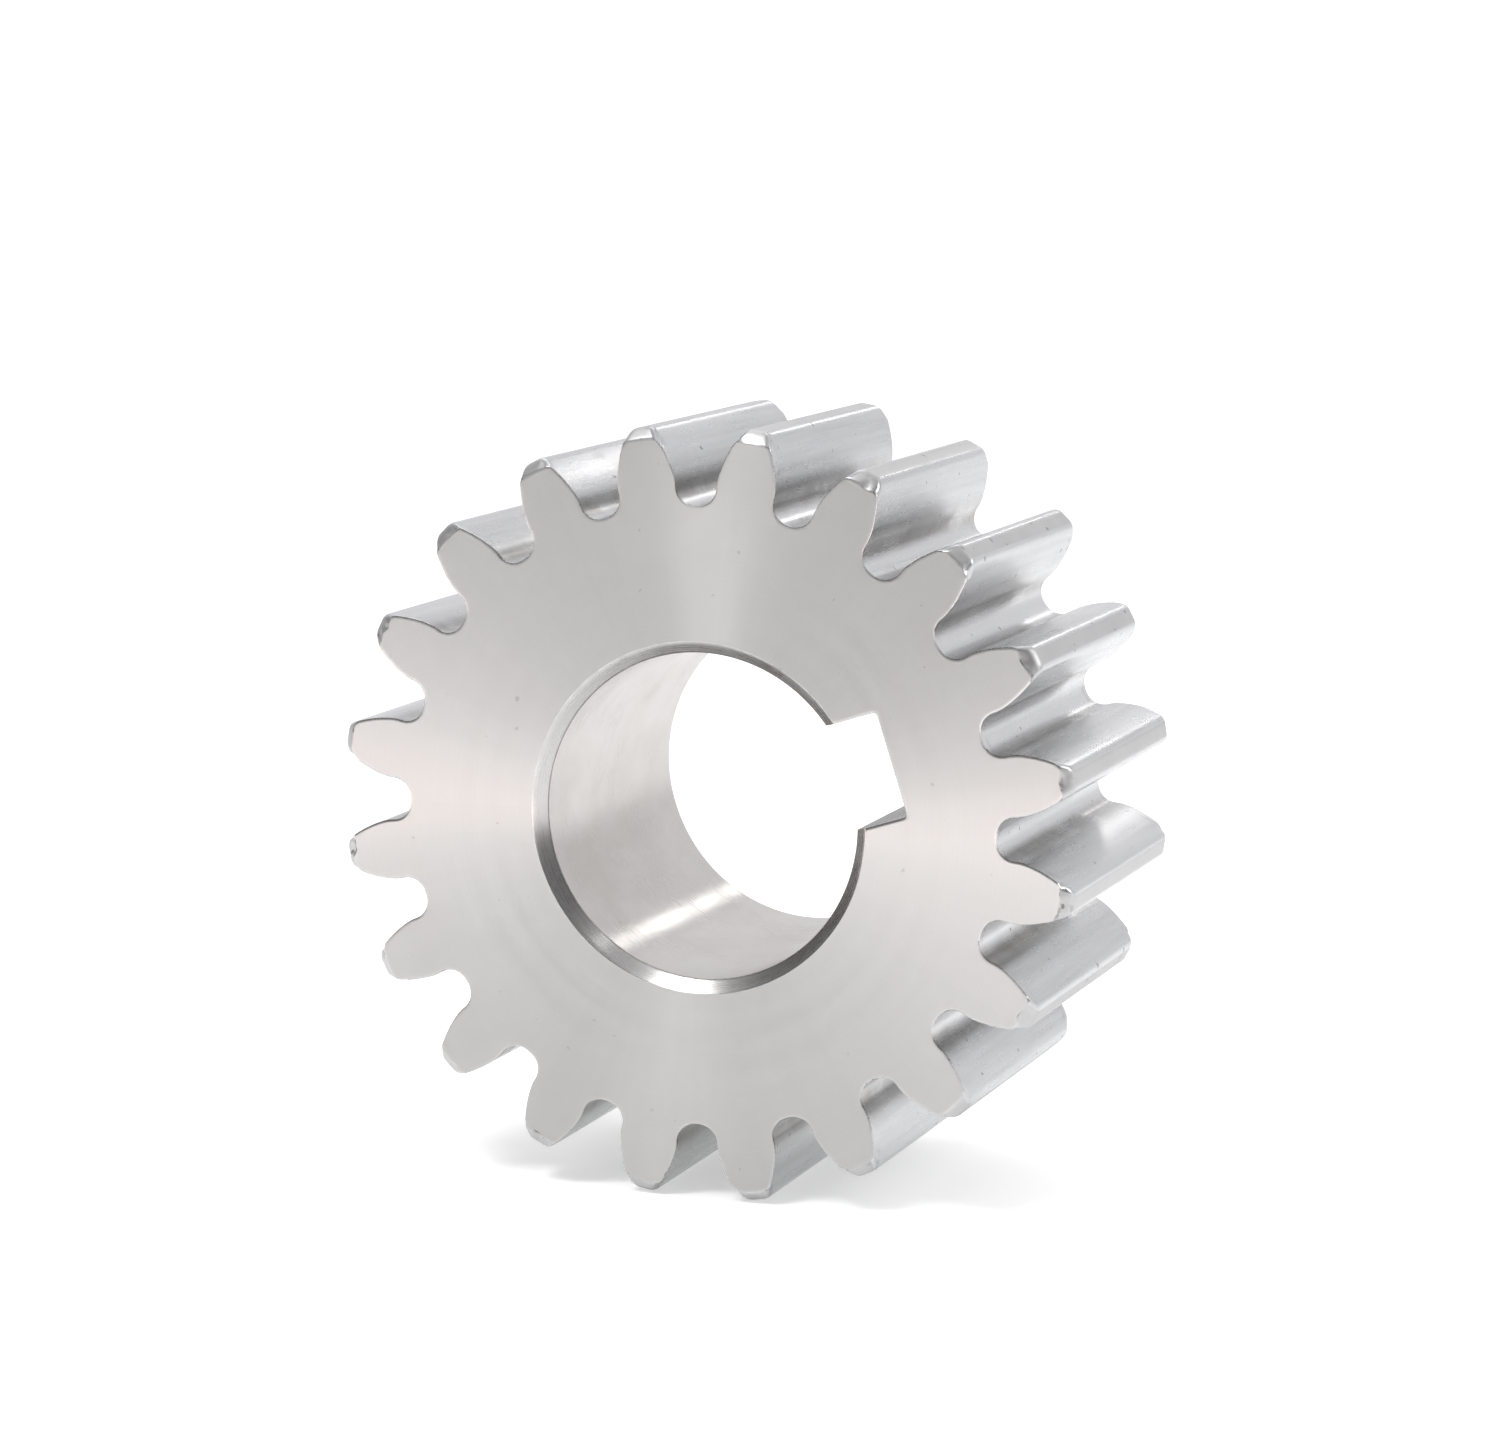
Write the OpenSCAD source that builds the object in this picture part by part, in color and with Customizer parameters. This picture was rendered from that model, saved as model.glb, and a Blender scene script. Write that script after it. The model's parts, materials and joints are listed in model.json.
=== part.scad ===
// Spur gear, machined from one piece of steel, with a keyed through bore.
// The bore axis lies along Y, the front face looks towards -Y and +Z is up.
// The origin is on the bore axis, half way along the face width.
// The gear stands on two neighbouring teeth, with a tooth space straight below the axis.

/* [Teeth] */
// Module, the pitch diameter divided by the number of teeth
gear_module = 2; // [2:0.25:3]
// Number of teeth
tooth_count = 20; // [18:1:30]
// Pressure angle, in degrees
pressure_angle = 20; // [20:0.5:22]
// Height of a tooth above the pitch circle, in modules
addendum = 1; // [0.9:0.05:1]
// Depth of a tooth space below the pitch circle, in modules
dedendum = 1.25; // [1.2:0.01:1.3]
// Largest radius of the fillet at the root of a tooth, in modules
root_fillet = 0.55; // [0.3:0.05:0.55]
// Thinning of each tooth along the pitch circle, which gives the backlash
tooth_thinning = 0.06; // [0:0.01:0.15]

/* [Blank] */
// Face width, along the axis
face_width = 20; // [12:1:40]
// Chamfer around the tooth tips, at both faces
tip_chamfer = 0.6; // [0.2:0.1:1]

/* [Bore and keyway] */
// Diameter of the bore
bore_d = 18.5; // [16:0.5:19]
// Chamfer at both ends of the bore
bore_chamfer = 0.7; // [0.2:0.1:1]
// Width of the keyway
keyway_width = 6; // [5:0.5:6]
// Depth of the keyway, from the wall of the bore at its middle
keyway_depth = 2.8; // [2:0.1:2.8]
// Radius in the two bottom corners of the keyway
keyway_corner_r = 0.25; // [0.1:0.05:0.4]
// Tooth space that the keyway lies under, counted anticlockwise from +X
keyway_space = 1; // [0:1:19]

/* [Hidden] */
$fn = 120;

pitch_r = gear_module * tooth_count / 2;
base_r = pitch_r * cos(pressure_angle);
tip_r = pitch_r + addendum * gear_module;
root_r = pitch_r - dedendum * gear_module;
bore_r = bore_d / 2;
half_width = face_width / 2;
tooth_pitch_angle = 360 / tooth_count;

// Steps in which each flank and each fillet is drawn
flank_steps = 10;
fillet_steps = 7;
// How far a cutter runs past the surface that it opens
overrun = 0.5;

// Involute function, in degrees
function involute(a) = tan(a) * 180 / PI - a;

// Half of a tooth, as an angle at the pitch circle
half_tooth_angle = tooth_pitch_angle / 4 - tooth_thinning / (2 * pitch_r) * 180 / PI;

// Half of a tooth space, as an angle at radius r on the flank
function half_space_angle(r) =
    tooth_pitch_angle / 2 - half_tooth_angle - involute(pressure_angle)
    + involute(acos(base_r / r));

// Below the base circle the flank is radial, so its fillet touches a radial line
radial_angle = half_space_angle(base_r);
full_round_r = root_r * sin(radial_angle) / (1 - sin(radial_angle));
fillet_r = min(root_fillet * gear_module, full_round_r);
fillet_angle = radial_angle - asin(fillet_r / (root_r + fillet_r));
fillet_end_r = sqrt(pow(root_r + fillet_r, 2) - pow(fillet_r, 2));
flank_start_r = max(base_r, fillet_end_r);
flank_end_r = tip_r + overrun;

// A point at radius r and angle a from +X
function polar(r, a) = [r * cos(a), r * sin(a)];

// One side of a tooth space that is centred on +X: the fillet, then the flank
fillet_points = [
    for (i = [0 : fillet_steps])
        let (turn = 180 + fillet_angle - i * (90 + fillet_angle - radial_angle) / fillet_steps)
        polar(root_r + fillet_r, fillet_angle) + polar(fillet_r, turn)
];
flank_points = [
    for (i = [0 : flank_steps])
        let (r = flank_start_r + i * (flank_end_r - flank_start_r) / flank_steps)
        polar(r, half_space_angle(r))
];
side_points = concat(fillet_points, flank_points);
side_count = len(side_points);
mirrored_points = [
    for (i = [0 : side_count - 1])
        let (p = side_points[side_count - 1 - i])
        [p[0], -p[1]]
];

// Section of the turned blank: a ring with its bore and all four chamfers
blank_section = [
    [bore_r, -half_width + bore_chamfer],
    [bore_r + bore_chamfer, -half_width],
    [tip_r - tip_chamfer, -half_width],
    [tip_r, -half_width + tip_chamfer],
    [tip_r, half_width - tip_chamfer],
    [tip_r - tip_chamfer, half_width],
    [bore_r + bore_chamfer, half_width],
    [bore_r, half_width - bore_chamfer]
];

// The space between two teeth, centred on +X
module tooth_space() {
    linear_extrude(height = face_width + 2 * overrun, center = true)
        polygon(concat(side_points, mirrored_points));
}

// The keyway, from inside the bore out along +X, with rounded bottom corners
module keyway() {
    bottom = bore_r + keyway_depth;
    corner = keyway_width / 2 - keyway_corner_r;
    linear_extrude(height = face_width + 2 * overrun, center = true) {
        translate([0, -keyway_width / 2])
            square([bottom - keyway_corner_r, keyway_width]);
        translate([0, -corner])
            square([bottom, 2 * corner]);
        for (side = [-1, 1])
            translate([bottom - keyway_corner_r, side * corner])
                circle(r = keyway_corner_r, $fn = 32);
    }
}

// The whole gear: a turned blank with its tooth spaces and keyway cut out
module spur_gear() {
    color("lightgray")
        rotate([90, 0, 0])
            difference() {
                rotate_extrude()
                    polygon(blank_section);
                for (i = [0 : tooth_count - 1])
                    rotate([0, 0, i * tooth_pitch_angle])
                        tooth_space();
                rotate([0, 0, keyway_space * tooth_pitch_angle])
                    keyway();
            }
}

spur_gear();
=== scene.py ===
import json
import math
import random

import bpy
from mathutils import Matrix, Vector
from mathutils.geometry import delaunay_2d_cdt


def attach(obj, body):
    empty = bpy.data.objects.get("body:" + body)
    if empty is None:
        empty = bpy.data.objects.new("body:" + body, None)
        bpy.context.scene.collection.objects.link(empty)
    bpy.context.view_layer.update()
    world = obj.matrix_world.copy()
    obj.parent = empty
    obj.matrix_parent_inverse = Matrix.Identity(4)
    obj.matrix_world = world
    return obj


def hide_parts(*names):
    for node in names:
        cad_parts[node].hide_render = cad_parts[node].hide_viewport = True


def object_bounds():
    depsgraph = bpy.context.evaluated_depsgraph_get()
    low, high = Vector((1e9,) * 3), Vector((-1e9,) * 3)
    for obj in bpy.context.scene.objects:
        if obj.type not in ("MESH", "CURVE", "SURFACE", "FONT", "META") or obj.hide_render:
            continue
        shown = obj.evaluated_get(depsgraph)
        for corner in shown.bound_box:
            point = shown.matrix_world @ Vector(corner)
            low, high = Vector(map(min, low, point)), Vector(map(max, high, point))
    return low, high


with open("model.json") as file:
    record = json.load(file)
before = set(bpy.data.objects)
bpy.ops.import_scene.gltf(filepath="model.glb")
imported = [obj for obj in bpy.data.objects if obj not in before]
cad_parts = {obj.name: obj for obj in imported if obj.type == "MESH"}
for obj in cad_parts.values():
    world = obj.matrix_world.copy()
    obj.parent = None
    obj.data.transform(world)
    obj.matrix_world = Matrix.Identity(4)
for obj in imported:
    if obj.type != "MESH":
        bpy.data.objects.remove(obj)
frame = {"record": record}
cad_low, cad_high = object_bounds()

# ------------------------------------------------------------------ sizes, in millimetres

MM = 0.001
MODULE = 2.0
TEETH = 20
PRESSURE_ANGLE = math.radians(20)
DEDENDUM = 1.25 * MODULE
ROOT_FILLET = 0.55 * MODULE
TOOTH_THINNING = 0.06
TIP_CHAMFER = 0.6
KEYWAY_WIDTH = 6.0
KEYWAY_DEPTH = 2.8
KEYWAY_CORNER = 0.25
KEYWAY_ANGLE = math.radians(18)

mounts = {m["name"]: m for m in frame["record"]["mounts"]}
HALF_WIDTH = (cad_high[1] - cad_low[1]) / 2 / MM
BORE_R = mounts["bore"]["dims"]["r_mm"]
BORE_CHAMFER = HALF_WIDTH - mounts["bore"]["dims"]["length_mm"] / 2

PITCH_R = MODULE * TEETH / 2
BASE_R = PITCH_R * math.cos(PRESSURE_ANGLE)
TIP_R = PITCH_R + MODULE
ROOT_R = PITCH_R - DEDENDUM
TOOTH_STEP = 2 * math.pi / TEETH
FIRST_TOOTH = TOOTH_STEP / 2

# How finely the outlines are drawn
FILLET_STEPS = 9
FLANK_STEPS = 16
# Below 1, the steps up a flank get shorter towards its tip
FLANK_CROWDING = 0.85
LAND_STEPS = 6
BORE_STEPS = 240
WALL_STEPS = 8
CORNER_STEPS = 5
BOTTOM_STEPS = 10
# About how far apart the rows along the axis are, away from the ends
TOOTH_ROW_GAP = 0.7
BORE_ROW_GAP = 0.9

# Rounding of the tooth tips: the length of flank and of land that it takes up
TIP_ROUND = 0.36
TIP_ROUND_STEPS = 5
# Broken edge where the faces meet the other surfaces
EDGE_BREAK = 0.05
# How far the rounding of the bore's mouth reaches over the face
MOUTH_BREAK = 0.03
# Share of a rounded edge's radius at the middle of its arc
ARC_MIDDLE = 0.293
# How far out from the chamfer's end the middle of that arc lies, at the tips and at the bore's mouth
TIP_ARC_OUT = 0.01
MOUTH_ARC_OUT = 0.005
# Width of the strip of face beside an edge over which its wear fades
WEAR_STRIP = 0.14

# Wear, from 0 to 1: in a broken edge, where it meets the tip and the bore chamfer, and on the tip chamfer
FULL_WEAR = 1.0
TIP_BREAK_WEAR = 0.7
MOUTH_BREAK_WEAR = 0.4
TIP_CHAMFER_WEAR = 0.1

# Rows of points on the two chamfers, as depths below the face
TIP_CHAMFER_DEPTHS = (0.16, 0.28, 0.4)
BORE_CHAMFER_DEPTHS = (0.24, 0.42, 0.6)
# Rows round the edge from the tip chamfer to the land: (depth past it, drop below the tip circle, wear)
TIP_EDGE_ROWS = ((-0.08, 0.105, 0.35), (0.05, 0.04, 0.35), (0.2, 0.01, 0.2), (0.4, 0.0, 0.0))
# Rows round the edge from the bore chamfer to the bore: (depth past it, distance out from the bore, wear)
BORE_EDGE_ROWS = ((-0.05, 0.05, 0.5), (0.0, 0.012, 1.0), (0.06, 0.0, 0.5), (0.25, 0.0, 0.0))

# Small dents in the edges of the tooth tips
NICKS = 220
# Depths below a face where they gather, and how far from the faces the others stay
NICK_DEPTHS = (0.05, 0.3, 0.6)
NICK_MARGIN = 0.6
# Radius of a dent, and its depth as a share of that radius
NICK_REACH = (0.18, 0.5)
NICK_SHARE = (0.2, 0.45)
# Dents move no point that lies further in from the tip circle than this
NICK_ZONE = 1.1
# Share of its drop that a point also moves away from the face, unless it lies this close to the face
NICK_ALONG = 0.15
FACE_MARGIN = 0.02
RANDOM_SEED = 20

# Edges that turn by more than this are shaded as sharp
SHARP_ANGLE = math.radians(26)
# Millimetres to one unit of the surface's own coordinates, and the name of their map
UV_UNIT = 10
UV_NAME = "along_surface"

# delaunay_2d_cdt: fill the whole hull with triangles, and join points closer than this
FILL_HULL = 0
SAME_POINT = 1e-7

rng = random.Random(RANDOM_SEED)


# ------------------------------------------------------------------ outlines

def involute(angle):
    return math.tan(angle) - angle


def half_tooth(r):
    """Half of a tooth at radius r, as an angle. Below the base circle the flank is radial."""
    pitch_half = math.pi / (2 * TEETH) - TOOTH_THINNING / (2 * PITCH_R)
    angle = pitch_half + involute(PRESSURE_ANGLE)
    if r > BASE_R:
        angle -= involute(math.acos(BASE_R / r))
    return angle


def polar(r, angle):
    return (r * math.cos(angle), r * math.sin(angle))


def half_outline(tip_r):
    """One side of a tooth from root to tip, as (radius, angle from the tooth's middle, kind)."""
    radial = half_tooth(BASE_R)
    centre_r = ROOT_R + ROOT_FILLET
    centre_angle = radial + math.asin(ROOT_FILLET / centre_r)
    centre = polar(centre_r, centre_angle)
    start_turn = math.pi + centre_angle
    end_turn = radial + 1.5 * math.pi
    points = []
    for i in range(FILLET_STEPS + 1):
        turn = start_turn + (end_turn - start_turn) * (i / FILLET_STEPS)
        x = centre[0] + ROOT_FILLET * math.cos(turn)
        y = centre[1] + ROOT_FILLET * math.sin(turn)
        points.append((math.hypot(x, y), math.atan2(y, x), "root"))
    start_r = points[-1][0]
    # BASE_R / tip_r turns a length of flank near the tip into a difference in radius
    end_r = tip_r - TIP_ROUND * BASE_R / tip_r
    for i in range(1, FLANK_STEPS + 1):
        r = start_r + (end_r - start_r) * (i / FLANK_STEPS) ** FLANK_CROWDING
        points.append((r, half_tooth(r), "flank"))
    return points + rounded_tip((end_r, half_tooth(end_r)), tip_r)


def rounded_tip(start, tip_r):
    """The curve from the end of the flank to the land, as in half_outline. It leaves out its start."""
    corner = (tip_r, half_tooth(tip_r))
    end = (tip_r, corner[1] - TIP_ROUND / tip_r)
    points = []
    for i in range(1, TIP_ROUND_STEPS + 1):
        share = i / TIP_ROUND_STEPS
        weights = ((1 - share) ** 2, 2 * share * (1 - share), share ** 2)
        r, angle = (sum(w * p[k] for w, p in zip(weights, (start, corner, end))) for k in (0, 1))
        points.append((r, angle, "land" if i == TIP_ROUND_STEPS else "corner"))
    return points


def tooth_outline(tip_r, inset):
    """The closed outline of all the teeth, anticlockwise, as (x, z) points, moved in by inset."""
    side = half_outline(tip_r)
    land_half = side[-1][1]
    points = []
    for tooth in range(TEETH):
        middle = FIRST_TOOTH + tooth * TOOTH_STEP
        points += [polar(r, middle - angle) for r, angle, _ in side]
        for i in range(1, LAND_STEPS):
            points.append(polar(tip_r, middle - land_half + 2 * land_half * i / LAND_STEPS))
        points += [polar(r, middle + angle) for r, angle, _ in reversed(side)]
    return moved_in(points, inset)


def moved_in(points, inset):
    """A closed anticlockwise outline with every point moved along its normal towards the inside."""
    if inset == 0:
        return points
    count = len(points)
    result = []
    for i, (x, y) in enumerate(points):
        before, after = points[i - 1], points[(i + 1) % count]
        along = Vector((after[0] - before[0], after[1] - before[1])).normalized()
        result.append((x - along.y * inset, y + along.x * inset))
    return result


def outline_kinds():
    """What each point of tooth_outline lies on."""
    side = [kind for _, _, kind in half_outline(TIP_R)]
    tooth = side + ["land"] * (LAND_STEPS - 1) + side[::-1]
    return tooth * TEETH


def keyway_corner(u, v, start_turn, steps):
    """Points on the arc of a keyway corner round (u, v), for these step numbers of its quarter turn."""
    points = []
    for i in steps:
        turn = start_turn + math.pi / 2 * i / CORNER_STEPS
        points.append((u + KEYWAY_CORNER * math.cos(turn), v + KEYWAY_CORNER * math.sin(turn)))
    return points


def bore_outline(arc_r, wall_out):
    """The closed outline of the bore, as (x, z) points. wall_out widens its keyway."""
    half = KEYWAY_WIDTH / 2 + wall_out
    bottom = BORE_R + KEYWAY_DEPTH + wall_out
    first = math.asin(half / arc_r)
    mouth = math.sqrt(arc_r ** 2 - half ** 2)
    corner_u = bottom - KEYWAY_CORNER
    corner_v = half - KEYWAY_CORNER
    points = []
    for i in range(BORE_STEPS + 1):
        points.append(polar(arc_r, first + (2 * math.pi - 2 * first) * i / BORE_STEPS))
    for i in range(1, WALL_STEPS + 1):
        points.append((mouth + (corner_u - mouth) * i / WALL_STEPS, -half))
    points += keyway_corner(corner_u, -corner_v, -math.pi / 2, range(1, CORNER_STEPS + 1))
    for i in range(1, BOTTOM_STEPS):
        points.append((bottom, -corner_v + 2 * corner_v * i / BOTTOM_STEPS))
    points += keyway_corner(corner_u, corner_v, 0.0, range(CORNER_STEPS))
    for i in range(WALL_STEPS):
        points.append((corner_u - (corner_u - mouth) * i / WALL_STEPS, half))
    turned = Matrix.Rotation(KEYWAY_ANGLE, 2)
    return [tuple(turned @ Vector(p)) for p in points]


# ------------------------------------------------------------------ rows along the axis

def outer_rows():
    """Rows of the toothed surface as (depth from the nearer face, tip radius, inset, wear)."""
    face_r = TIP_R - TIP_CHAMFER
    middle = ARC_MIDDLE * EDGE_BREAK
    rows = [
        (0.0, face_r, EDGE_BREAK, FULL_WEAR),
        (middle, face_r + TIP_ARC_OUT, middle, FULL_WEAR),
        (EDGE_BREAK, face_r + EDGE_BREAK, 0.0, TIP_BREAK_WEAR),
    ]
    rows += [(depth, face_r + depth, 0.0, TIP_CHAMFER_WEAR) for depth in TIP_CHAMFER_DEPTHS]
    rows += [(TIP_CHAMFER + past, TIP_R - drop, 0.0, wear) for past, drop, wear in TIP_EDGE_ROWS]
    return rows


def inner_rows():
    """Rows of the bore and keyway as (depth from the nearer face, arc radius, widening, wear)."""
    mouth_r = BORE_R + BORE_CHAMFER
    middle = ARC_MIDDLE * EDGE_BREAK
    rows = [
        (0.0, mouth_r + MOUTH_BREAK, EDGE_BREAK, FULL_WEAR),
        (middle, mouth_r + MOUTH_ARC_OUT, middle, FULL_WEAR),
        (EDGE_BREAK, mouth_r - EDGE_BREAK, 0.0, MOUTH_BREAK_WEAR),
    ]
    rows += [(depth, mouth_r - depth, 0.0, 0.0) for depth in BORE_CHAMFER_DEPTHS]
    rows += [(BORE_CHAMFER + past, BORE_R + out, 0.0, wear) for past, out, wear in BORE_EDGE_ROWS]
    return rows


def both_ends(rows, gap):
    """The rows of the front end, the middle and the back end, as (y, radius, inset, wear)."""
    front = [(-HALF_WIDTH + depth, r, inset, wear) for depth, r, inset, wear in rows]
    back = [(HALF_WIDTH - depth, r, inset, wear) for depth, r, inset, wear in reversed(rows)]
    first_y, r, inset, _ = front[-1]
    length = back[0][0] - first_y
    count = round(length / gap)
    middle = [(first_y + length * i / count, r, inset, 0.0) for i in range(1, count)]
    return front + middle + back


# ------------------------------------------------------------------ the gear's mesh

FACE, MOUTH, BORE, FLANK, LAND, TIP_EDGE, KEYWAY = range(7)


class GearMesh:
    """Collects the points, faces and surface marks of the gear, in millimetres."""

    def __init__(self):
        self.points = []
        self.wear = []
        self.faces = []
        self.kinds = []
        self.uvs = []

    def add_row(self, outline, y, wear):
        """Adds the points of an outline at that y, and returns the range of their numbers."""
        first = len(self.points)
        self.points += [Vector((x, y, z)) for x, z in outline]
        self.wear += [wear] * len(outline)
        return range(first, len(self.points))

    def add_face(self, corners, marks, kind):
        self.faces.append(corners)
        self.uvs.append(marks)
        self.kinds.append(kind)

    def add_wall(self, outline_of, rows, kind_of, inward):
        """A closed band of quads that joins these rows and faces the axis or away from it. Returns the
        point numbers of its first and of its last row."""
        placed = []
        for y, r, inset, wear in rows:
            outline = outline_of(r, inset)
            placed.append((self.add_row(outline, y, wear), y))
        count = len(outline)
        # Lengths round the outline, measured on the last row
        lengths = [0.0]
        for i in range(count):
            a, b = outline[i], outline[(i + 1) % count]
            lengths.append(lengths[-1] + math.hypot(b[0] - a[0], b[1] - a[1]))
        for (low, low_y), (high, high_y) in zip(placed, placed[1:]):
            for i in range(count):
                j = (i + 1) % count
                corners = [low[i], low[j], high[j], high[i]]
                marks = [(lengths[i], low_y), (lengths[i + 1], low_y),
                         (lengths[i + 1], high_y), (lengths[i], high_y)]
                if not inward:
                    corners.reverse()
                    marks.reverse()
                self.add_face(corners, marks, kind_of(i, (low_y + high_y) / 2))
        return placed[0][0], placed[-1][0]

    def add_end_face(self, outer, inner, strips, y):
        """The flat face between the row of the teeth and the row of the bore. The strips are outlines
        on it, beside those rows, at which the wear of the edges ends."""
        loops = [outer, inner] + [self.add_row(strip, y, 0.0) for strip in strips]
        order = [i for loop in loops for i in loop]
        flat = [Vector((self.points[i].x, self.points[i].z)) for i in order]
        edges = []
        start = 0
        for loop in loops:
            count = len(loop)
            edges += [(start + i, start + (i + 1) % count) for i in range(count)]
            start += count
        result = delaunay_2d_cdt(flat, edges, [], FILL_HULL, SAME_POINT)
        new_points, triangles, sources = result[0], result[2], result[3]
        ids = []
        for point, source in zip(new_points, sources):
            if source:
                ids.append(order[source[0]])
            else:
                ids.append(self.add_row([(point.x, point.y)], y, 0.0)[0])
        for triangle in triangles:
            corners = [ids[i] for i in triangle]
            if not self.on_face(corners, outer, inner):
                continue
            side = self.points[corners[1]] - self.points[corners[0]]
            other = self.points[corners[2]] - self.points[corners[0]]
            if (side.cross(other).y < 0) != (y < 0):
                corners.reverse()
            self.add_face(corners, [(self.points[i].x, self.points[i].z) for i in corners], FACE)

    def on_face(self, corners, outer, inner):
        """Whether a triangle lies on steel, and not in a tooth space, the bore or the keyway."""
        if all(i in inner for i in corners):
            return False
        if not all(i in outer for i in corners):
            return True
        middle = sum((self.points[i] for i in corners), Vector()) / 3
        r = math.hypot(middle.x, middle.z)
        angle = (math.atan2(middle.z, middle.x) - FIRST_TOOTH) % TOOTH_STEP
        off_middle = min(angle, TOOTH_STEP - angle)
        return r > ROOT_R and off_middle < half_tooth(r) - EDGE_BREAK / r

    def build(self, name):
        mesh = bpy.data.meshes.new(name)
        mesh.from_pydata([p * MM for p in self.points], [], self.faces)
        uv = mesh.uv_layers.new(name=UV_NAME)
        marks = [c for face in self.uvs for mark in face for c in mark]
        uv.data.foreach_set("uv", [c / UV_UNIT for c in marks])
        wear = mesh.attributes.new("edge_wear", "FLOAT", "POINT")
        wear.data.foreach_set("value", self.wear)
        mesh.polygons.foreach_set("material_index", self.kinds)
        mesh.update()
        return mesh


def tooth_kind(kinds):
    """A function that says which surface a quad of the toothed band belongs to."""
    def kind(i, y):
        if "land" not in (kinds[i], kinds[(i + 1) % len(kinds)]):
            return FLANK
        if HALF_WIDTH - abs(y) < TIP_CHAMFER:
            return TIP_EDGE
        return LAND
    return kind


def bore_kind(i, y):
    """Which surface a quad of the bore's band belongs to."""
    if i >= BORE_STEPS:
        return KEYWAY
    if HALF_WIDTH - abs(y) < BORE_CHAMFER:
        return MOUTH
    return BORE


def nick_edges(gear, outer, kinds):
    """Small dents knocked into the edges of the tooth tips. outer is the toothed band's end rows."""
    tips = [i for i, kind in enumerate(kinds) if kind in ("corner", "land")]
    centres = []
    for _ in range(NICKS):
        point = gear.points[outer[0][rng.choice(tips)]].copy()
        anywhere = rng.uniform(NICK_MARGIN, 2 * HALF_WIDTH - NICK_MARGIN)
        below_face = rng.choice(NICK_DEPTHS + (anywhere,))
        point.y = rng.choice((-1, 1)) * (HALF_WIDTH - below_face)
        reach = rng.uniform(*NICK_REACH)
        centres.append((point, reach, rng.uniform(*NICK_SHARE) * reach))
    for point in gear.points[outer[0].start:outer[1].stop]:
        r = math.hypot(point.x, point.z)
        if r < TIP_R - NICK_ZONE:
            continue
        for centre, reach, depth in centres:
            gap = (point - centre).length
            if gap < reach:
                drop = (1 - (gap / reach) ** 2) * depth
                point.x *= 1 - drop / r
                point.z *= 1 - drop / r
                if HALF_WIDTH - abs(point.y) >= FACE_MARGIN:
                    point.y *= 1 - NICK_ALONG * drop / HALF_WIDTH


def make_gear():
    gear = GearMesh()
    kinds = outline_kinds()
    tooth_rows = both_ends(outer_rows(), TOOTH_ROW_GAP)
    bore_rows = both_ends(inner_rows(), BORE_ROW_GAP)
    outer = gear.add_wall(tooth_outline, tooth_rows, tooth_kind(kinds), inward=False)
    inner = gear.add_wall(bore_outline, bore_rows, bore_kind, inward=True)
    inset = EDGE_BREAK + WEAR_STRIP
    strips = (tooth_outline(TIP_R - TIP_CHAMFER, inset),
              bore_outline(BORE_R + BORE_CHAMFER + MOUTH_BREAK + WEAR_STRIP, inset))
    gear.add_end_face(outer[0], inner[0], strips, -HALF_WIDTH)
    gear.add_end_face(outer[1], inner[1], strips, HALF_WIDTH)
    nick_edges(gear, outer, kinds)
    return gear.build("spur_gear_steel")


# ------------------------------------------------------------------ materials

# Metres in a micron, for the height of the grooves
MICRON = 0.000001
# Between these values lies most of a noise
NOISE_LOW = 0.3
NOISE_HIGH = 0.7
# Wider values, for noise that should reach its limits only seldom
WIDE_LOW = 0.2
WIDE_HIGH = 0.8
# How much a groove changes the roughness, up or down
GROOVE_ROUGHNESS = 0.03
# Roughness of the noise that draws turned grooves
RING_ROUGH = 0.7
# Anisotropic Rotation by a quarter turn, which lays the highlights across turned grooves
ACROSS_GROOVES = 0.25
# Worn edges: values of the noise where the patches start and are full, their strength and their polish
WEAR_PATCHES = (0.42, 0.6)
WEAR_SHARE = 0.6
WEAR_POLISH = 0.06
# Grime along the edges, in the same way, and the values of the noise at which specks start and are full
GRIME_PATCHES = (0.56, 0.62)
GRIME_SHARE = 0.75
SPECK_PATCHES = (0.8, 0.84)


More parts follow.
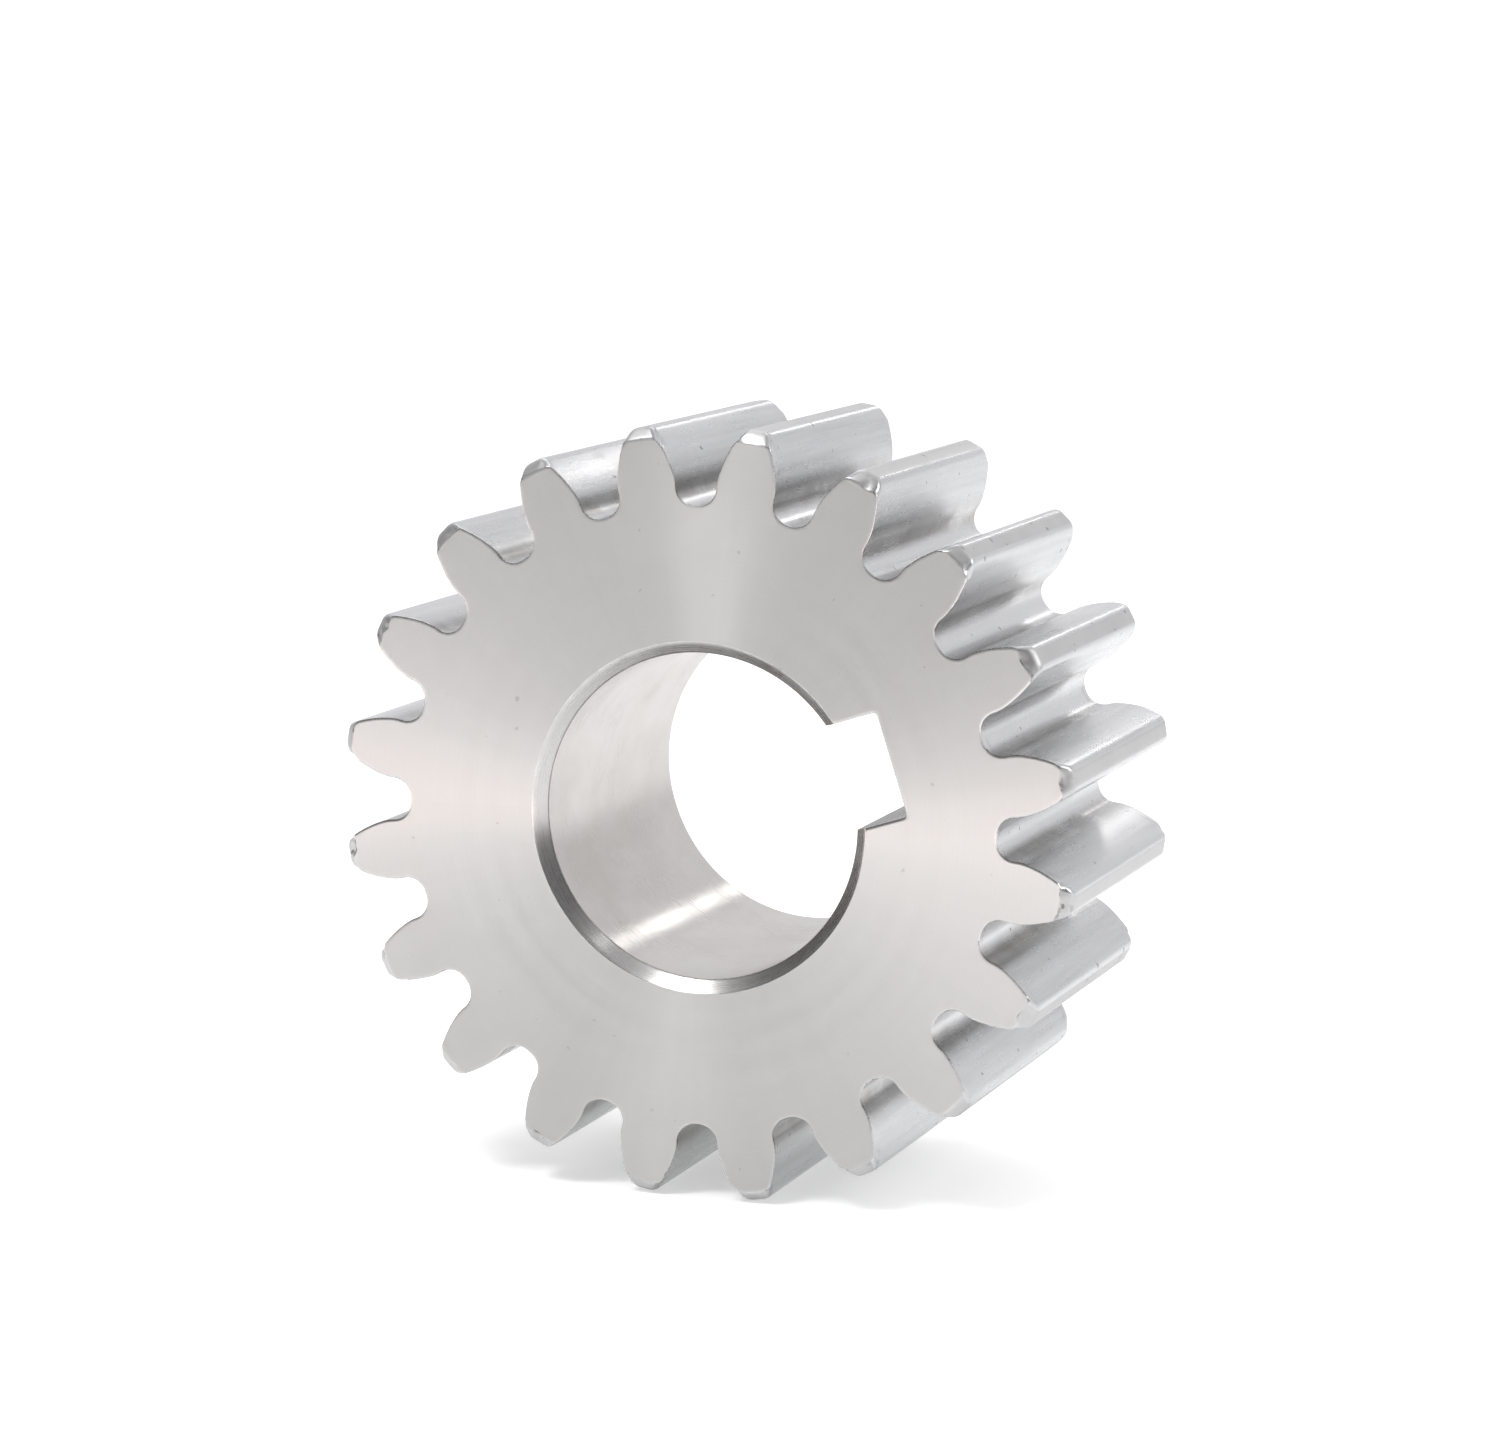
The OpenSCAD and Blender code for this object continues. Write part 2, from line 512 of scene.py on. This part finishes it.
class Nodes:
    """A short way to write a node tree."""

    def __init__(self, tree):
        self.tree = tree
        self.tree.nodes.clear()

    def add(self, kind, **settings):
        node = self.tree.nodes.new(kind)
        for key, value in settings.items():
            setattr(node, key, value)
        return node

    def link(self, source, target):
        self.tree.links.new(source, target)

    def put(self, value, socket):
        """A number or colour is set on the socket, and another node's output is linked to it."""
        if isinstance(value, bpy.types.NodeSocket):
            self.link(value, socket)
        else:
            socket.default_value = value

    def math(self, operation, a, b=0.0, clamp=False):
        node = self.add("ShaderNodeMath", operation=operation, use_clamp=clamp)
        self.put(a, node.inputs[0])
        self.put(b, node.inputs[1])
        return node.outputs[0]

    def point(self, kind="Object"):
        return self.add("ShaderNodeTexCoord").outputs[kind]

    def split(self, vector):
        node = self.add("ShaderNodeSeparateXYZ")
        self.link(vector, node.inputs[0])
        return node.outputs

    def radius(self):
        """Distance from the gear's axis, in metres."""
        x, _, z = self.split(self.point())
        square = self.math("ADD", self.math("MULTIPLY", x, x), self.math("MULTIPLY", z, z))
        return self.math("SQRT", square)

    def turn(self):
        """Angle round the gear's axis, in radians."""
        x, _, z = self.split(self.point())
        return self.math("ARCTAN2", z, x)

    def noise(self, socket, place, scale, detail, rough, **settings):
        """A noise texture, read at the place that is linked to that socket."""
        node = self.add("ShaderNodeTexNoise", **settings)
        self.link(place, node.inputs[socket])
        for key, number in (("Scale", scale), ("Detail", detail), ("Roughness", rough)):
            node.inputs[key].default_value = number
        return node

    def clouds(self, scale, detail, rough):
        """Noise in the object's own space."""
        return self.noise("Vector", self.point(), scale, detail, rough).outputs[0]

    def lines(self, place, scale, detail, rough):
        """Noise that changes only with one value, for turned grooves."""
        return self.noise("W", place, scale, detail, rough, noise_dimensions="1D").outputs[0]

    def axial_rings(self, scale, detail):
        """Noise that changes only along the gear's axis."""
        return self.lines(self.split(self.point())[1], scale, detail, RING_ROUGH)

    def streaks(self, across, along, detail, rough, distortion=0.0):
        """Noise in the surface's own coordinates, scaled round the outline and along the axis."""
        u, v, _ = self.split(self.add("ShaderNodeUVMap", uv_map=UV_NAME).outputs[0])
        place = self.add("ShaderNodeCombineXYZ")
        self.link(self.math("MULTIPLY", u, across), place.inputs["X"])
        self.link(self.math("MULTIPLY", v, along), place.inputs["Y"])
        node = self.noise("Vector", place.outputs[0], 1, detail, rough)
        node.inputs["Distortion"].default_value = distortion
        return node.outputs[0]

    def scale(self, value, low, high, out_low, out_high, smooth=False):
        """The range from low to high, mapped onto the range from out_low to out_high."""
        node = self.add("ShaderNodeMapRange")
        node.interpolation_type = "SMOOTHSTEP" if smooth else "LINEAR"
        self.link(value, node.inputs["Value"])
        for key, number in (("From Min", low), ("From Max", high),
                            ("To Min", out_low), ("To Max", out_high)):
            node.inputs[key].default_value = number
        return node.outputs[0]

    def spread(self, noise, out_low, out_high):
        """The usual values of a noise, mapped onto a range."""
        return self.scale(noise, NOISE_LOW, NOISE_HIGH, out_low, out_high)

    def mix(self, share, under, over):
        node = self.add("ShaderNodeMix", data_type="RGBA")
        self.put(share, node.inputs["Factor"])
        self.put(under, node.inputs["A"])
        self.put(over, node.inputs["B"])
        return node.outputs["Result"]

    def overlay(self, noise, under, over, most=1.0, low=NOISE_LOW, high=NOISE_HIGH):
        """The colour over, laid on the colour under by a noise. At high its share is most."""
        return self.mix(self.scale(noise, low, high, 0, most), under, over)

    def bump(self, height, distance, normal=None):
        node = self.add("ShaderNodeBump")
        node.inputs["Distance"].default_value = distance
        self.link(height, node.inputs["Height"])
        if normal is not None:
            self.link(normal, node.inputs["Normal"])
        return node.outputs[0]

    def edge_wear(self):
        return self.add("ShaderNodeAttribute", attribute_name="edge_wear").outputs["Fac"]


class Surface(Nodes):
    """A material with one Principled shader."""

    def __init__(self, name):
        self.material = bpy.data.materials.new(name)
        self.material.use_nodes = True
        super().__init__(self.material.node_tree)
        self.shader = self.add("ShaderNodeBsdfPrincipled")
        output = self.add("ShaderNodeOutputMaterial")
        self.link(self.shader.outputs[0], output.inputs["Surface"])

    def set(self, name, value):
        self.put(value, self.shader.inputs[name])


def tone(grey, warmth=0.0):
    """A steel colour of that brightness, warmer or cooler than neutral."""
    return (grey + warmth, grey, grey - warmth, 1.0)


def grooved_steel(name, anisotropic, **tangent):
    """Steel that draws its highlights out along or across its tangent, as fine grooves do."""
    n = Surface(name)
    n.set("Metallic", 1.0)
    n.set("Anisotropic", anisotropic)
    n.set("Tangent", n.add("ShaderNodeTangent", **tangent).outputs[0])
    return n


def turned_steel(name, anisotropic):
    """Steel with grooves round the axis, which draw its highlights out across them."""
    n = grooved_steel(name, anisotropic, direction_type="RADIAL", axis="Y")
    n.set("Anisotropic Rotation", ACROSS_GROOVES)
    return n


def cut_steel(name, anisotropic):
    """Steel with grooves along the axis, which draw its highlights out round the outline."""
    return grooved_steel(name, anisotropic, direction_type="UV_MAP", uv_map=UV_NAME)


def finish_steel(n, colour, roughness, wear_colour):
    """Adds brighter, smoother metal in patches along the edges, then sets colour and roughness."""
    patches = n.scale(n.clouds(scale=700, detail=4, rough=0.65), *WEAR_PATCHES, 0, WEAR_SHARE)
    wear = n.math("MULTIPLY", n.edge_wear(), patches)
    n.set("Base Color", n.mix(wear, colour, wear_colour))
    n.set("Roughness", n.math("SUBTRACT", roughness, n.math("MULTIPLY", wear, WEAR_POLISH), True))


def turned_roughness(n, clouds, rings, low, high):
    """Roughness from low to high by the clouds, and a little up or down from groove to groove."""
    grooves = n.scale(rings, WIDE_LOW, WIDE_HIGH, -GROOVE_ROUGHNESS, GROOVE_ROUGHNESS)
    return n.math("ADD", n.spread(clouds, low, high), grooves)


def speckled(n, colour, density, scale, speck_colour):
    """The colour with small separate spots: more of them by density, and smaller ones by scale."""
    start, full = (value - density for value in SPECK_PATCHES)
    spots = n.scale(n.clouds(scale, detail=1, rough=0.5), start, full, 0, 1, True)
    return n.mix(spots, colour, speck_colour)


def grimed(n, colour):
    """The colour with small dark spots of dirt along the edges."""
    spots = n.scale(n.clouds(scale=1100, detail=3, rough=0.6), *GRIME_PATCHES, 0, GRIME_SHARE, True)
    return n.mix(n.math("MULTIPLY", n.edge_wear(), spots), colour, tone(0.12, 0.012))


def fading_up(n, low, high):
    """From 1 to 0 between two heights above the root circle, in millimetres."""
    return n.scale(n.radius(), (ROOT_R + low) * MM, (ROOT_R + high) * MM, 1, 0, True)


def turned_face():
    n = turned_steel("turned_face", anisotropic=0.9)
    radius = n.radius()
    rings = n.lines(radius, scale=9000, detail=4, rough=RING_ROUGH)
    bands = n.lines(radius, scale=1100, detail=2, rough=0.5)
    rays = n.lines(n.turn(), scale=9, detail=3, rough=0.6)
    clouds = n.clouds(scale=130, detail=4, rough=0.6)
    fine = n.clouds(scale=1400, detail=3, rough=0.6)
    light = n.overlay(clouds, tone(0.49, 0.008), tone(0.53, 0.012))
    ringed = n.overlay(rings, light, tone(0.575, 0.010), most=0.3)
    rayed = n.overlay(rays, ringed, tone(0.46, 0.006), most=0.14, low=0.35, high=0.65)
    marked = speckled(n, rayed, density=0.05, scale=1700, speck_colour=tone(0.42, 0.01))
    rough = turned_roughness(n, clouds, rings, low=0.30, high=0.36)
    finish_steel(n, marked, n.math("ADD", rough, n.spread(bands, -0.01, 0.01)), tone(0.52))
    n.set("Normal", n.bump(fine, 1.8 * MICRON, n.bump(rings, 3.2 * MICRON)))
    return n.material


def bore_chamfer():
    n = turned_steel("bore_chamfer", anisotropic=0.7)
    rings = n.axial_rings(scale=12000, detail=3)
    clouds = n.clouds(scale=300, detail=3, rough=0.6)
    light = n.overlay(clouds, tone(0.46, 0.008), tone(0.52, 0.008))
    ringed = n.overlay(rings, light, tone(0.58, 0.004), most=0.4)
    finish_steel(n, ringed, turned_roughness(n, clouds, rings, low=0.25, high=0.31), tone(0.64))
    n.set("Normal", n.bump(rings, 3 * MICRON))
    return n.material


def reamed_bore():
    n = turned_steel("reamed_bore", anisotropic=0.75)
    rings = n.axial_rings(scale=5000, detail=4)
    stain_and_painted_shade = n.streaks(across=1.6, along=0.9, detail=4, rough=0.6, distortion=0.3)
    clouds = n.clouds(scale=260, detail=4, rough=0.6)
    light = n.overlay(stain_and_painted_shade, tone(0.46, 0.026), tone(0.53, 0.016), low=0.38, high=0.62)
    ringed = n.overlay(rings, light, tone(0.57, 0.014), most=0.25)
    finish_steel(n, ringed, turned_roughness(n, clouds, rings, low=0.22, high=0.28), tone(0.64))
    n.set("Normal", n.bump(rings, 2 * MICRON))
    return n.material


def hobbed_flank():
    n = cut_steel("hobbed_flank", anisotropic=0.6)
    broad = n.streaks(across=16, along=0.5, detail=3, rough=0.55)
    streaks = n.streaks(across=42, along=1.1, detail=4, rough=0.6)
    fine = n.streaks(across=150, along=5, detail=3, rough=0.6)
    clouds = n.clouds(scale=240, detail=4, rough=0.65)
    light = n.overlay(broad, tone(0.44, -0.004), tone(0.535, -0.007), low=0.35, high=0.65)
    streaked = n.overlay(streaks, light, tone(0.575, -0.005), most=0.5, low=0.35, high=0.7)
    # Painted shade low on the flank, in patches, for the neighbouring tooth's shadow and dark reflection,
    # and a painted highlight in the root below it, for the bright reflection there
    patches = n.scale(clouds, low=0.36, high=0.6, out_low=0.25, out_high=0.85)
    stain_and_painted_shade = n.math("MULTIPLY", fading_up(n, low=0.7, high=2.3), patches)
    with_painted_root_shade = n.mix(stain_and_painted_shade, streaked, tone(0.25, 0.012))
    # Painted highlight: bright metal in the root, standing in for its bright reflection
    painted_light_and_stains = n.mix(fading_up(n, low=0.1, high=0.6), with_painted_root_shade, tone(0.58, -0.005))
    marked = speckled(n, painted_light_and_stains, density=0.06, scale=1500, speck_colour=tone(0.22, 0.01))
    grooves = n.spread(clouds, -GROOVE_ROUGHNESS, GROOVE_ROUGHNESS)
    rough = n.math("ADD", n.spread(streaks, 0.25, 0.33), grooves)
    finish_steel(n, grimed(n, marked), rough, tone(0.5))
    bumps = n.bump(streaks, 6 * MICRON)
    for height, distance in ((fine, 1.5 * MICRON), (broad, 6 * MICRON)):
        bumps = n.bump(height, distance, bumps)
    n.set("Normal", bumps)
    return n.material


def turned_land():
    n = turned_steel("turned_land", anisotropic=0.2)
    rings = n.axial_rings(scale=6000, detail=4)
    clouds = n.clouds(scale=300, detail=3, rough=0.6)
    light = n.overlay(clouds, tone(0.43), tone(0.5))
    ringed = n.overlay(rings, light, tone(0.54), most=0.25)
    marked = speckled(n, ringed, density=0.06, scale=1400, speck_colour=tone(0.28, 0.01))
    rough = turned_roughness(n, clouds, rings, low=0.38, high=0.46)
    finish_steel(n, grimed(n, marked), rough, tone(0.58))
    n.set("Normal", n.bump(rings, 2.5 * MICRON))
    return n.material


def tip_chamfer():
    n = turned_steel("tip_chamfer", anisotropic=0.2)
    rings = n.axial_rings(scale=9000, detail=3)
    clouds = n.clouds(scale=420, detail=4, rough=0.65)
    light = n.overlay(clouds, tone(0.43), tone(0.53))
    ringed = n.overlay(rings, light, tone(0.56), most=0.3)
    marked = speckled(n, ringed, density=0.11, scale=1300, speck_colour=tone(0.2, 0.01))
    rough = turned_roughness(n, clouds, rings, low=0.4, high=0.5)
    finish_steel(n, grimed(n, marked), rough, tone(0.6))
    n.set("Normal", n.bump(rings, 4 * MICRON))
    return n.material


def broached_keyway():
    n = cut_steel("broached_keyway", anisotropic=0.5)
    # The grey specular tint and the darker tones below are partly painted shade, for a dark reflection
    # along the keyway's walls, and partly the duller tone of broached steel
    n.set("Specular Tint", tone(0.5))
    streaks = n.streaks(across=90, along=1.2, detail=4, rough=0.6)
    clouds = n.clouds(scale=260, detail=4, rough=0.6)
    light = n.overlay(streaks, tone(0.4), tone(0.52))
    painted_light_and_stains = n.overlay(clouds, light, tone(0.34, 0.01), most=0.4, low=0.5)
    rough = n.math("ADD", n.spread(streaks, 0.2, 0.3), n.spread(clouds, -0.03, 0.04))
    finish_steel(n, painted_light_and_stains, rough, tone(0.5))
    n.set("Normal", n.bump(streaks, 6 * MICRON))
    return n.material


def pale_floor():
    """A pale table top that glows a little, so its shadows stay light."""
    n = Surface("pale_floor")
    grain = n.clouds(scale=60, detail=3, rough=0.6)
    n.set("Base Color", n.mix(grain, (0.91, 0.91, 0.91, 1), (0.94, 0.94, 0.935, 1)))
    n.set("Roughness", 0.9)
    n.set("Emission Color", (1, 1, 1, 1))
    n.set("Emission Strength", 0.42)
    return n.material


def add_object(name, data):
    """A new object in the scene."""
    made = bpy.data.objects.new(name, data)
    bpy.context.scene.collection.objects.link(made)
    return made


# ------------------------------------------------------------------ the piece

gear_object = add_object("spur_gear_steel", make_gear())
gear_object.data.polygons.foreach_set("use_smooth", [True] * len(gear_object.data.polygons))
gear_object.data.set_sharp_from_angle(angle=SHARP_ANGLE)
# In the order of FACE, MOUTH, BORE, FLANK, LAND, TIP_EDGE and KEYWAY
for material in (turned_face(), bore_chamfer(), reamed_bore(), hobbed_flank(),
                 turned_land(), tip_chamfer(), broached_keyway()):
    gear_object.data.materials.append(material)
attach(gear_object, "root")
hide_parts("spur_gear")


# ------------------------------------------------------------------ stage, light and camera, in metres

FLOOR_LEVEL = cad_low[2]
# Radii of the rings of the round floor, and the sides of each
FLOOR_RINGS = (0.1, 0.4, 1.2, 3.0)
FLOOR_SIDES = 96

# Brightness of the world in front and behind, and as the backdrop that the camera sees
FRONT_LEVEL = 0.22
BACK_LEVEL = 1.0
BACKDROP_LEVEL = 1.1
WORLD_COLOUR = (0.985, 0.98, 1.0, 1)
# Where the world turns from the front's brightness to the back's, by the y of the direction
BEHIND = (-0.25, 0.45)
# Towards the far left, by the x of the direction, only this share of that change is made
BESIDE = (-0.98, -0.6)
BESIDE_SHARE = 0.5
# Upwards, by the z of the direction, and the share that is reached right above
ABOVE = (0.55, 0.95)
ABOVE_SHARE = 0.75

WHITE = (1.0, 1.0, 1.0)
FAINTLY_WARM = (1.0, 0.98, 0.96)
WARM = (1.0, 0.73, 0.66)
VERY_WARM = (1.0, 0.6, 0.5)
ORIGIN = (0.0, 0.0, 0.0)
# The cards lie just above the floor and face straight up
CARD_LEVEL = FLOOR_LEVEL + 0.001
CARD_TARGET = 1.0

# Square light panels as (name, place, target, size, brightness of the surface, colour): two bounce cards
# on the floor in front, a panel above the floor in front, one high over the back, and three small lamps
PANELS = (
    ("left_card", (-0.14, -0.09, CARD_LEVEL), (-0.14, -0.09, CARD_TARGET), 0.11, 1.25, VERY_WARM),
    ("right_card", (0.07, -0.14, CARD_LEVEL), (0.07, -0.14, CARD_TARGET), 0.09, 2.7, WARM),
    ("front_panel", (-0.07, -0.12, 0.22), (-0.06, -0.07, FLOOR_LEVEL), 0.08, 15.5, WHITE),
    ("back_panel", (-0.3, 1.0, 1.1), (-0.3, 1.2, 0.0), 0.9, 1.15, WHITE),
    ("high_lamp", (0.22, -0.175, 0.415), ORIGIN, 0.05, 4.5, WHITE),
    ("back_lamp", (0.01, 0.46, 0.19), ORIGIN, 0.035, 7.5, FAINTLY_WARM),
    ("right_lamp", (0.34, 0.06, 0.17), (0.02, 0.02, FLOOR_LEVEL), 0.16, 3.9, WHITE),
)

# The camera, which fits the outline of the gear in the photo. Its lens and sensor are in millimetres
CAMERA_PLACE = (0.08942, -0.24027, 0.04436)
CAMERA_AZIMUTH = math.radians(20.53)
CAMERA_ELEVATION = math.radians(8.88)
CAMERA_LENS = 108
CAMERA_SENSOR = 36
CAMERA_NEAREST = 0.01


def aim(made, place, direction):
    """Puts a lamp or the camera at a place, looking in that direction."""
    made.location = place
    made.rotation_euler = direction.to_track_quat("-Z", "Y").to_euler()


def make_floor():
    """A flat round floor, so wide that its edge lies near the horizon."""
    points = [(0.0, 0.0, FLOOR_LEVEL)]
    for r in FLOOR_RINGS:
        points += [(*polar(r, 2 * math.pi * i / FLOOR_SIDES), FLOOR_LEVEL) for i in range(FLOOR_SIDES)]
    faces = [(0, 1 + i, 1 + (i + 1) % FLOOR_SIDES) for i in range(FLOOR_SIDES)]
    for ring in range(len(FLOOR_RINGS) - 1):
        low = 1 + ring * FLOOR_SIDES
        high = low + FLOOR_SIDES
        for i in range(FLOOR_SIDES):
            j = (i + 1) % FLOOR_SIDES
            faces.append((low + i, high + i, high + j, low + j))
    mesh = bpy.data.meshes.new("floor")
    mesh.from_pydata(points, [], faces)
    mesh.materials.append(pale_floor())
    floor = add_object("floor", mesh)


def add_panel(name, place, target, size, brightness, colour):
    """A square light panel, which the camera doesn't see."""
    data = bpy.data.lights.new(name, "AREA")
    data.size = size
    data.energy = brightness * math.pi * size ** 2
    data.color = colour
    lamp = add_object(name, data)
    aim(lamp, place, Vector(target) - Vector(place))
    lamp.visible_camera = False


def make_world():
    """Soft light from all round, brighter from behind and above. The camera sees a white backdrop."""
    world = bpy.data.worlds.new("studio")
    world.use_nodes = True
    n = Nodes(world.node_tree)
    x, y, z = n.split(n.point("Generated"))
    behind = n.scale(y, *BEHIND, 0, 1, True)
    beside = n.scale(x, *BESIDE, BESIDE_SHARE, 1, True)
    above = n.scale(z, *ABOVE, 0, ABOVE_SHARE, True)
    lit = n.math("MAXIMUM", n.math("MULTIPLY", behind, beside), above)
    level = n.scale(lit, 0, 1, FRONT_LEVEL, BACK_LEVEL)
    seen = n.add("ShaderNodeLightPath").outputs["Is Camera Ray"]
    unseen = n.math("SUBTRACT", 1.0, seen)
    backdrop = n.math("MULTIPLY", seen, BACKDROP_LEVEL)
    background = n.add("ShaderNodeBackground")
    background.inputs["Color"].default_value = WORLD_COLOUR
    n.link(n.math("ADD", n.math("MULTIPLY", level, unseen), backdrop), background.inputs["Strength"])
    n.link(background.outputs[0], n.add("ShaderNodeOutputWorld").inputs["Surface"])
    bpy.context.scene.world = world


def make_camera():
    data = bpy.data.cameras.new("camera")
    data.sensor_width = CAMERA_SENSOR
    data.lens = CAMERA_LENS
    data.clip_start = CAMERA_NEAREST
    camera = add_object("camera", data)
    x, y = polar(math.cos(CAMERA_ELEVATION), math.pi / 2 + CAMERA_AZIMUTH)
    aim(camera, CAMERA_PLACE, Vector((x, y, -math.sin(CAMERA_ELEVATION))))
    bpy.context.scene.camera = camera


make_floor()
make_world()
for panel in PANELS:
    add_panel(*panel)
make_camera()
bpy.context.scene.view_settings.view_transform = "Standard"
